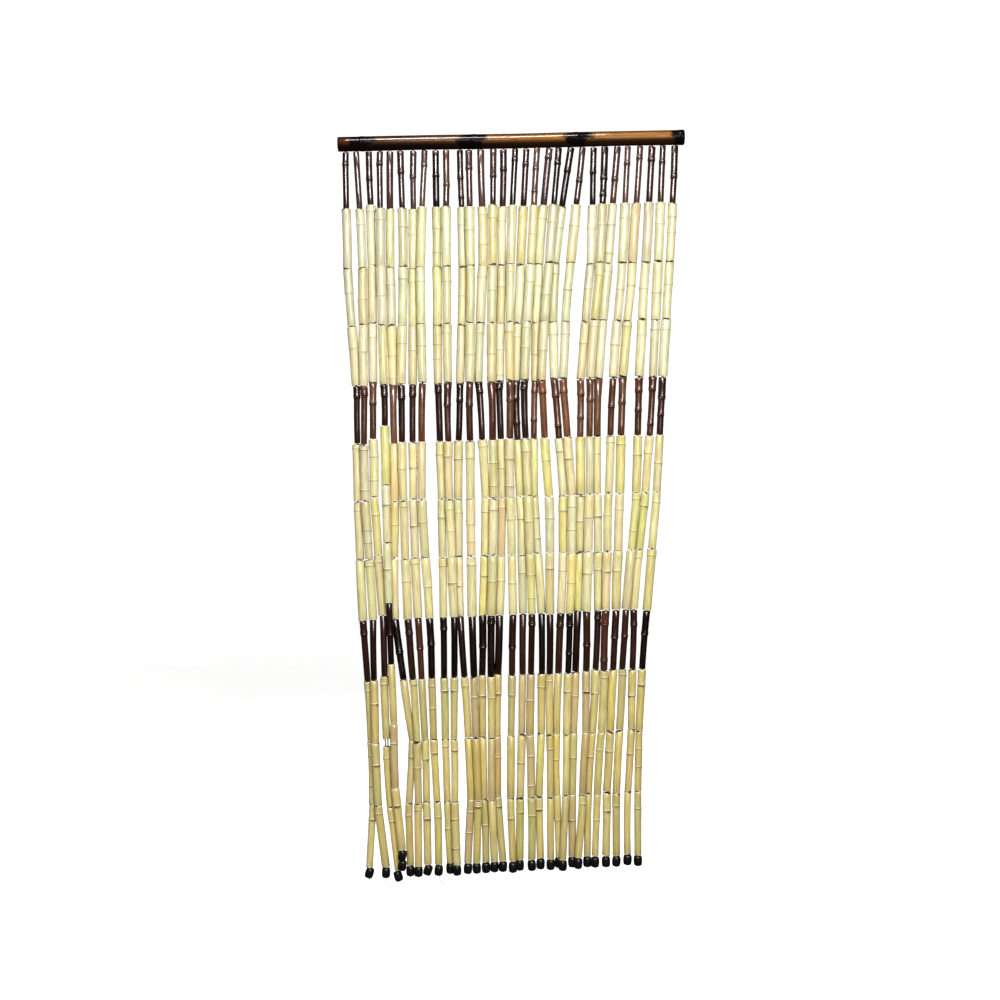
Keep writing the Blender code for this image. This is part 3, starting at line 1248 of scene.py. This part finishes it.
@dataclass
class CordMaker:
    """Doubled cords through the tubes, each with a knot and cut ends below the bead."""

    finish: Material
    rng: random.Random
    thickness: float = 0.0023
    spacing: float = 0.0025
    bare_gap: float = 0.012
    bare_spacing: float = 0.0068
    bare_width: float = 1.5
    tail_width: float = 0.55
    tail_drift: float = 0.002
    into_pole: float = 0.004
    knot_loop: float = 0.0018
    knot_drop: float = 0.0003
    knot_turns: tuple[Triple, ...] = ((0.5, 0.0, 0.3), (1.4, 0.6, 0.0))
    cross_angle: float = 0.5

    def knot_pattern(self) -> Item:
        """Model a knot: two small loops of cord pulled tight across each other.

        Returns:
            The pattern knot, at the origin.
        """
        loops = []
        for turn in self.knot_turns:
            bpy.ops.object.select_all(action="DESELECT")
            bpy.ops.mesh.primitive_torus_add(
                major_segments=14,
                minor_segments=8,
                major_radius=self.knot_loop,
                minor_radius=self.thickness / 2,
                rotation=turn,
            )
            bpy.ops.object.transform_apply(location=True, rotation=True, scale=True)
            loops.append(bpy.context.object)
        knot = joined("knot_pattern", loops)
        smooth(knot, NOTHING_SHARP)
        return knot

    def runs(self, strand: StrandSpans) -> list[Vector]:
        """The cord's places from the pole to the foot of the last bead.

        Args:
            strand: The strand's spans.

        Returns:
            Places with a pair at every gap between tubes and beads.
        """
        places = [strand.cord_top + Vector((0, 0, self.into_pole))]
        for tube in strand.tubes:
            places += [tube.top.centre, tube.foot.centre]
        for rings in strand.beads:
            places += [rings[0].centre, rings[-1].centre]
        return places

    def add_line(self, curve: bpy.types.Curve, points: list[Vector], widths: list[float]) -> None:
        """Add one open line of cord to a curve.

        Args:
            curve: The cord's curve.
            points: The line's places.
            widths: Its width at each place, as a share of the cord's.
        """
        line = curve.splines.new("POLY")
        line.points.add(len(points) - 1)
        for point, place, width in zip(line.points, points, widths):
            point.co = (*place, 1.0)
            point.radius = width

    def add_tails(self, curve: bpy.types.Curve, number: int, start: Vector) -> None:
        """Add the cut ends below a knot.

        Args:
            curve: The cord's curve.
            number: The strand's number.
            start: The knot's place.
        """
        drifts = [self.rng.uniform(-self.tail_drift, self.tail_drift) for _ in range(2)]
        tails = [tail for tail in LONG_TAILS if tail.strand == number]
        tails.append(Tail(number, SHORT_TAIL, *drifts))
        for tail in tails:
            end = Vector((tail.right, -tail.front, -tail.length))
            mid = end * 0.5 + Vector((-0.15 * tail.right, 0.0, -0.1 * tail.length))
            self.add_line(curve, [start, start + mid, start + end], [self.tail_width] * 3)

    def add_pair(self, curve: bpy.types.Curve, places: list[Vector]) -> None:
        """Add the two lines of a doubled cord, wider and further apart where long lengths lie bare.

        Args:
            curve: The cord's curve.
            places: The cord's places, from the pole down.
        """
        angles = [self.rng.uniform(-self.cross_angle, self.cross_angle) for _ in range(len(places) // 2 + 1)]
        for side in (-1, 1):
            line = []
            widths = []
            for index, place in enumerate(places):
                beyond = places[index - 1 if index % 2 else min(index + 1, len(places) - 1)]
                bare = (place - beyond).length > self.bare_gap
                angle = 0.0 if bare else angles[(index + 1) // 2]
                spacing = self.bare_spacing if bare else self.spacing
                line.append(place + Vector((math.cos(angle), math.sin(angle), 0.0)) * (side * spacing / 2))
                widths.append(self.bare_width if bare else 1.0)
            self.add_line(curve, line, widths)

    def build(self, number: int, strand: StrandSpans, knot: Item) -> Item:
        """Thread one strand's cord.

        Args:
            number: The strand's number.
            strand: Its spans.
            knot: The pattern knot.

        Returns:
            The cord with its knot and tails.
        """
        curve = bpy.data.curves.new(f"{strand.node}_cord", "CURVE")
        curve.dimensions = "3D"
        curve.bevel_depth = self.thickness / 2
        curve.bevel_resolution = 1
        curve.use_fill_caps = True
        self.add_pair(curve, self.runs(strand))
        knot_place = strand.beads[-1][-1].centre + Vector((0, 0, -self.knot_drop))
        self.add_tails(curve, number, knot_place)
        select_only(linked(curve.name, curve))
        bpy.ops.object.convert(target="MESH")
        item = bpy.context.object
        turn = Matrix.Rotation(self.rng.uniform(0, math.tau), 3, "Z")
        spots = vertex_places(knot.data) @ np.array(turn).T + np.array(knot_place[:])
        whole = joined(f"{strand.node}_cord", [item, copy_with_places(knot, f"{strand.node}_knot", spots)])
        coat(whole, self.finish)
        smooth(whole, CORD_SHARP)
        return whole


@dataclass
class BeadMaker:
    """Barrel beads, turned with a bore and eased ends."""

    finish: Material
    rng: random.Random
    sides: int = 24
    bore: float = 0.0034
    edge: float = 0.0008
    radius: float = 0.0112
    height: float = 0.026
    profile: Pairs = (
        (0.0, 0.76), (0.06, 0.88), (0.2, 0.96), (0.36, 1.0),
        (0.64, 1.0), (0.8, 0.96), (0.94, 0.88), (1.0, 0.76),
    )
    askew: tuple[int, ...] = (1, 3, 4, 7)
    lean: float = 0.30
    small_lean: float = 0.08

    def pattern(self) -> Item:
        """Model the pattern bead.

        Returns:
            The bead, centred on the origin.
        """
        item = upright_cylinder("bead_pattern", self.sides, self.radius, self.height)
        with Bench(item) as bench:
            bench.cut([share * self.height for share, _ in self.profile[1:-1]])
            for share, width in self.profile:
                bench.swell(share * self.height, width)
            end = self.radius * self.profile[0][1]
            bench.open_through(self.height, end, end - self.bore, self.edge)
            bpy.ops.mesh.select_all(action="SELECT")
            bpy.ops.transform.translate(value=(0.0, 0.0, -self.height / 2))
        smooth(item, SHARP)
        return item

    def build(self, number: int, strand: StrandSpans, pattern: Item) -> Item:
        """Hang the beads at a strand's foot.

        Args:
            number: The strand's number.
            strand: Its spans.
            pattern: The pattern bead.

        Returns:
            The beads.
        """
        made = []
        for rings in strand.beads:
            top, foot = rings[0].centre, rings[-1].centre
            widest = max(ring.radius for ring in rings)
            lean = self.lean if number in self.askew else self.rng.uniform(0.0, self.small_lean)
            lean *= self.rng.choice((-1, 1)) / len(strand.beads)
            turn = Matrix.Rotation(lean, 3, "Y") @ Matrix.Rotation(self.rng.uniform(0, 6), 3, "Z")
            size = np.array([widest / self.radius, widest / self.radius, (top - foot).length / self.height])
            places = (vertex_places(pattern.data) * size) @ np.array(turn).T + np.array(((top + foot) / 2)[:])
            made.append(copy_with_places(pattern, f"{strand.node}_bead_{len(made)}", places))
        item = joined(f"{strand.node}_bead", made)
        coat(item, self.finish)
        return item


# Header pole


@dataclass
class HeaderPole:
    """The stout culm that carries the strands, dressed along the rings of its solid."""

    skin: Material
    sawn: Material
    nodes: tuple[float, ...]
    node: str = "header_pole"
    sides: int = 48
    ring_gap: float = 0.030
    clear_of_node: float = 0.016
    clear_of_end: float = 0.001
    wall: float = 0.0055
    bore_reach: float = 0.0135
    bore_depths: Pair = (0.014, 0.007)
    pith: Pair = (0.006, -0.001)
    edge: float = 0.0012
    ridge: NodeRidge = NodeRidge((
        (-0.010, 0.0), (-0.0040, 0.0002), (-0.0012, 0.0004),
        (0.0, 0.0010), (0.0014, 0.0005), (0.0030, 0.0003),
        (0.0052, 0.0007), (0.0078, 0.0005), (0.0095, 0.0),
    ))
    node_reach: float = 0.0033
    sway: float = 0.0007

    def along(self) -> Vector:
        """The pole's direction, from the mount at its right end."""
        mount = next(m for m in frame["record"]["mounts"] if m["name"] == "pole_end_right")
        return Vector(mount["axis"]).normalized()

    def heights(self, length: float) -> list[Pair]:
        """Heights of the rings and how far the skin stands out there.

        Args:
            length: The pole's length.

        Returns:
            Pairs from the left end to the right.
        """
        marks = self.ridge.marks(self.nodes)
        marks = [mark for mark in marks if self.clear_of_end < mark[0] < length - self.clear_of_end]
        count = round(length / self.ring_gap)
        for index in range(1, count):
            height = length * index / count
            if all(abs(height - node) > self.clear_of_node for node in self.nodes):
                marks.append((height, 0.0))
        return sorted(marks)

    def build(self) -> Item:
        """Model the pole, turn it along its solid and dress it.

        Returns:
            The pole.
        """
        rings = solid_rings(self.node, self.along())
        start, end = rings[0].centre, rings[-1].centre
        length = (end - start).length
        profile = [((ring.centre - start).length, ring.radius) for ring in rings[1:-1]]
        plain = [p for p in profile if all(abs(p[0] - node) > self.node_reach for node in self.nodes)]
        steps, radii = zip(*plain)
        item = upright_cylinder(self.node + "_culm", self.sides, radii[0], length)
        with Bench(item) as bench:
            marks = self.heights(length)
            bench.cut([height for height, _ in marks])
            for height, rise in marks:
                bench.swell(height, (float(np.interp(height, steps, radii)) + rise) / radii[0])
            bench.swell(length, radii[-1] / radii[0])
            self.bore_ends(bench, length)
            bench.ease_edge(0.0, radii[0], self.edge)
            bench.ease_edge(length, radii[-1], self.edge)
        smooth(item, SHARP)
        paint(item.data, "grain", vertex_places(item.data))
        coat(item, self.skin, self.sawn)
        mark_sawn(item.data, length, self.bore_reach)
        self.place(item, start, length)
        return item

    def bore_ends(self, bench: Bench, length: float) -> None:
        """Sink the hollow of the culm into both sawn ends.

        Args:
            bench: The pole in edit mode.
            length: Its length.
        """
        for height, depth in ((0.0, self.bore_depths[0]), (length, -self.bore_depths[1])):
            bench.inset_ends(self.wall, height)
            bpy.ops.mesh.extrude_region_move(TRANSFORM_OT_translate={"value": (0.0, 0.0, depth)})
            bpy.ops.mesh.inset(thickness=self.pith[0], depth=self.pith[1])

    def place(self, item: Item, start: Vector, length: float) -> None:
        """Lay the pole along its solid, its own Y up, with a slight sway.

        Args:
            item: The pole, still upright.
            start: Middle of the left end.
            length: The pole's length.
        """
        along = self.along()
        back = Vector((0, 1, 0))
        places = vertex_places(item.data)
        bend = self.sway * np.sin(places[:, 2] / length * math.pi * 3)
        places[:, 1] += bend * np.sin(places[:, 2] / length * math.pi)
        basis = np.array([back[:], along.cross(back)[:], along[:]])
        item.data.vertices.foreach_set("co", (places @ basis + np.array(start[:])).ravel())
        item.data.update()


# Studio


WHITE = (1.0, 1.0, 1.0)
WARM_WHITE = (1.0, 0.95, 0.9)


@dataclass(frozen=True)
class Softbox:
    """A large soft light aimed at a place.

    One without glints only lights surfaces, and one without wash only mirrors in them.
    """

    name: str
    place: Triple
    aim: Triple
    size: Pair
    power: float
    tint: Colour = WHITE
    glints: bool = True
    washes: bool = True

    def build(self) -> None:
        """Add the light."""
        light = bpy.data.lights.new(self.name, "AREA")
        light.shape = "RECTANGLE"
        light.size, light.size_y = self.size
        light.energy = self.power
        light.color = self.tint
        item = linked(self.name, light)
        item.location = self.place
        item.rotation_euler = (Vector(self.aim) - Vector(self.place)).to_track_quat("-Z", "Y").to_euler()
        item.visible_glossy = self.glints
        item.visible_diffuse = self.washes


@dataclass
class Studio:
    """Pale floor and backdrop, soft lights and the camera."""

    metres_per_pixel: float = 0.002601
    picture: int = 1000
    pole_middle: Pair = (511.0, 140.9)
    distance: float = 3.1
    sensor: float = 36.0
    floor_drop: float = 0.09
    sweep_start: float = 4.6
    sweep_radius: float = 0.9
    sweep_sides: int = 24
    width: float = 18.0
    surround: Colour = (1.0, 0.99, 0.97)
    surround_strength: float = 0.13
    lights: tuple[Softbox, ...] = (
        Softbox("key_light", (0.7, -2.9, 0.3), (0.0, 0.0, -0.8), (0.5, 1.4), 88.0),
        Softbox("high_light", (-0.25, -2.3, 0.62), (0.0, 0.0, -0.2), (0.5, 0.5), 66.0, washes=False),
        Softbox(
            "top_strip", (-0.19, -0.5, 0.63), (-0.19, 0.0, 0.0), (0.98, 0.1), 12.0, WARM_WHITE, washes=False
        ),
        Softbox("fill_light", (-0.6, -2.9, -1.1), (0.0, 0.0, -1.1), (1.0, 1.6), 46.0, glints=False),
        Softbox("back_light", (-0.9, 2.6, 0.2), (0.0, 0.0, -0.9), (1.6, 1.6), 40.0, glints=False),
    )

    def camera(self) -> None:
        """Stand the camera level at the picture's middle, square to the curtain."""
        half = self.picture / 2
        place_x = (half - self.pole_middle[0]) * self.metres_per_pixel
        place_z = (self.pole_middle[1] - half) * self.metres_per_pixel
        data = bpy.data.cameras.new("camera")
        data.sensor_width = self.sensor
        data.lens = self.sensor * self.distance / (self.picture * self.metres_per_pixel)
        item = linked("camera", data)
        item.location = (place_x, -self.distance, place_z)
        item.rotation_euler = (math.pi / 2, 0.0, 0.0)
        bpy.context.scene.camera = item

    def backdrop(self, finish: Material) -> None:
        """Lay a floor that sweeps up into a wall behind the curtain.

        Args:
            finish: The pale material.
        """
        floor = CAD_BOX[0][2] - self.floor_drop
        bpy.ops.object.select_all(action="DESELECT")
        bpy.ops.mesh.primitive_plane_add(size=1.0, location=(0.0, 0.0, floor))
        item = bpy.context.object
        item.name = "studio_floor"
        bpy.ops.object.transform_apply(location=True, rotation=True, scale=True)
        with Bench(item) as bench:
            bpy.ops.mesh.select_all(action="SELECT")
            bpy.ops.transform.resize(value=(self.width, self.width, 1.0), center_override=(0.0, 0.0, floor))
            bpy.ops.transform.translate(value=(0.0, self.sweep_start - self.width / 2, 0.0))
            self.raise_wall(bench)
        smooth(item, NOTHING_SHARP)
        coat(item, finish)
        item.visible_diffuse = False
        item.visible_glossy = False

    def raise_wall(self, bench: Bench) -> None:
        """Extrude the floor's back edge up round a curve and on into a wall.

        Args:
            bench: The floor in edit mode.
        """
        bench.pick(Pick.VERTS, lambda place: place.y > self.sweep_start - SAME_PLACE)
        turn = math.pi / 2 / self.sweep_sides
        chord = 2 * self.sweep_radius * math.sin(turn / 2)
        for index in range(self.sweep_sides):
            middle = (index + 0.5) * turn
            step = (0.0, chord * math.cos(middle), chord * math.sin(middle))
            bpy.ops.mesh.extrude_region_move(TRANSFORM_OT_translate={"value": step})
        bpy.ops.mesh.extrude_region_move(TRANSFORM_OT_translate={"value": (0.0, 0.0, self.width / 2)})

    def world(self) -> None:
        """Light the room evenly, from a pale surround."""
        world = bpy.data.worlds.new("surround")
        world.use_nodes = True
        inputs = world.node_tree.nodes["Background"].inputs
        inputs["Color"].default_value = (*self.surround, 1.0)
        inputs["Strength"].default_value = self.surround_strength
        world.cycles_visibility.glossy = False
        bpy.context.scene.world = world

    def build(self, finish: Material) -> None:
        """Build the whole studio.

        Args:
            finish: The pale material of floor and wall.
        """
        self.camera()
        self.backdrop(finish)
        self.world()
        for light in self.lights:
            light.build()
        bpy.context.scene.view_settings.view_transform = "Standard"


# The curtain


# Name, wood, pores and the painted shade of the bore of each sawn finish.
SAWN_COLOURS = {
    Slot.NATURAL: ("natural_sawn", (0.80, 0.70, 0.38), (0.42, 0.30, 0.12), (0.055, 0.034, 0.016)),
    Slot.DARK: ("dark_sawn", (0.10, 0.055, 0.028), (0.02, 0.012, 0.008), (0.010, 0.006, 0.004)),
    Slot.POLE: ("pole_sawn", (0.30, 0.17, 0.07), (0.06, 0.03, 0.012), (0.016, 0.009, 0.005)),
}


@dataclass
class Curtain:
    """The whole curtain: its finishes, the pole and every strand."""

    seed: int = 7
    pole_length: float = 0.9
    pole_radius: float = 0.019
    pole_bore: float = 0.0132
    pole_nodes: tuple[float, ...] = (0.060, 0.349, 0.616, 0.889)
    pole_bands: tuple[Triple, ...] = (
        (0.022, 0.092, 1.0),
        (0.312, 0.385, 1.0),
        (0.589, 0.658, 1.0),
        (0.712, 0.722, 0.45),
        (0.865, 0.930, 1.0),
    )

    def skins(self) -> dict[Slot, tuple[Material, Material]]:
        """Build the tube finishes.

        Returns:
            For each slot, the skin and the sawn ends.
        """
        natural = BambooSkin(
            "natural_skin", roughness=0.36, coat=0.2, sheen=(1.0, 1.0, 1.0), fibre=0.30, relief=0.25,
            blotch=(0.46, 0.32, 0.13), blotch_share=0.42, warm=(1.0, 0.95, 0.84), cool=(0.96, 0.99, 0.88),
            node_line=(0.16, 0.085, 0.022), node_share=0.95, ridge=(0.92, 0.86, 0.60), ridge_share=0.68,
            scar_and_shade=(0.045, 0.020, 0.009), scar_share=0.85, end_shade_share=0.9,
        )
        dark = BambooSkin(
            "dark_skin", roughness=0.26, coat=0.45, sheen=(1.0, 0.86, 0.82), fibre=0.5, relief=0.08,
            blotch=(0.012, 0.006, 0.004), blotch_share=0.7, warm=(1.6, 1.4, 1.15), cool=(0.5, 0.5, 0.55),
            node_line=(0.008, 0.004, 0.003), node_share=0.85, ridge=(0.16, 0.085, 0.060), ridge_share=0.35,
            scar_and_shade=(0.006, 0.003, 0.003), scar_share=0.9, end_shade_share=0.7,
        )
        bore = TubePattern.radius - TubePattern.wall
        ends = {slot: SawnEnd(*SAWN_COLOURS[slot], bore).build() for slot in (Slot.NATURAL, Slot.DARK)}
        return {
            Slot.NATURAL: (natural.build(), ends[Slot.NATURAL]),
            Slot.DARK: (dark.build(), ends[Slot.DARK]),
        }

    def pole(self) -> None:
        """Build the header pole."""
        skin = PoleSkin(
            "pole_skin",
            left=(0.105, 0.036, 0.011),
            right=(0.50, 0.200, 0.034),
            scorch_and_shade=(0.004, 0.002, 0.002),
            node_line=(0.05, 0.025, 0.012),
            bands=self.pole_bands,
            nodes=self.pole_nodes,
            length=self.pole_length,
            radius=self.pole_radius,
        )
        sawn = SawnEnd(*SAWN_COLOURS[Slot.POLE], self.pole_bore)
        culm = HeaderPole(skin.build(), sawn.build(), self.pole_nodes).build()
        finish_piece(culm, Slot.POLE, "header_pole")

    def strands(self) -> None:
        """Build every strand: its tubes, cord and beads."""
        rng = random.Random(self.seed)
        patterns = {}
        for slot, share in RIDGE_SHARES.items():
            for count, heights in PATTERN_NODES.items():
                size = TubePattern(f"{slot.value}_pattern_{count}", heights, ridge_share=share)
                patterns[slot, count] = size.build()
        fitter = TubeFitter(patterns, size, self.skins(), rng)
        yarn = TwistedCord("cord_yarn", (0.035, 0.026, 0.018), (0.008, 0.006, 0.005))
        cords = CordMaker(yarn.build(), rng)
        stain = StainedWood("bead_stain", (0.005, 0.0045, 0.0045), (0.020, 0.012, 0.009))
        beads = BeadMaker(stain.build(), rng)
        knot, bead = cords.knot_pattern(), beads.pattern()
        names = sorted(name for name in frame["nodes"] if name.startswith("strand_"))
        for number, node in enumerate(names, start=1):
            strand = read_strand(node)
            self.tubes(strand, fitter)
            finish_piece(cords.build(number, strand, knot), Slot.CORD, node)
            finish_piece(beads.build(number, strand, bead), Slot.BEAD, node)
        for pattern in (*patterns.values(), knot, bead):
            bpy.data.objects.remove(pattern, do_unlink=True)

    def tubes(self, strand: StrandSpans, fitter: TubeFitter) -> None:
        """Fit a strand's tubes and join them by finish.

        Args:
            strand: The strand's spans.
            fitter: Fits the tubes.
        """
        made: dict[Slot, list[Item]] = {Slot.NATURAL: [], Slot.DARK: []}
        for span in strand.tubes:
            look = ROW_LOOKS[span.row - 1].value
            made[look.slot].append(fitter.fit(f"{strand.node}_tube_{span.row}", span, look))
        for slot, label in ((Slot.NATURAL, "natural_tubes"), (Slot.DARK, "dark_tubes")):
            finish_piece(joined(f"{strand.node}_{label}", made[slot]), slot, strand.node)

    def build(self) -> None:
        """Build the pole, then the strands."""
        self.pole()
        self.strands()


def main() -> None:
    """Build the studio and the curtain in order, and report each piece."""
    logging.basicConfig(level=logging.INFO, format="%(name)s: %(message)s", stream=sys.stdout)
    Studio().build(PaleBackdrop("studio_pale", (0.93, 0.93, 0.93), (0.85, 0.85, 0.85), 0.9).build())
    Curtain().build()


if __name__ == "__main__":
    main()
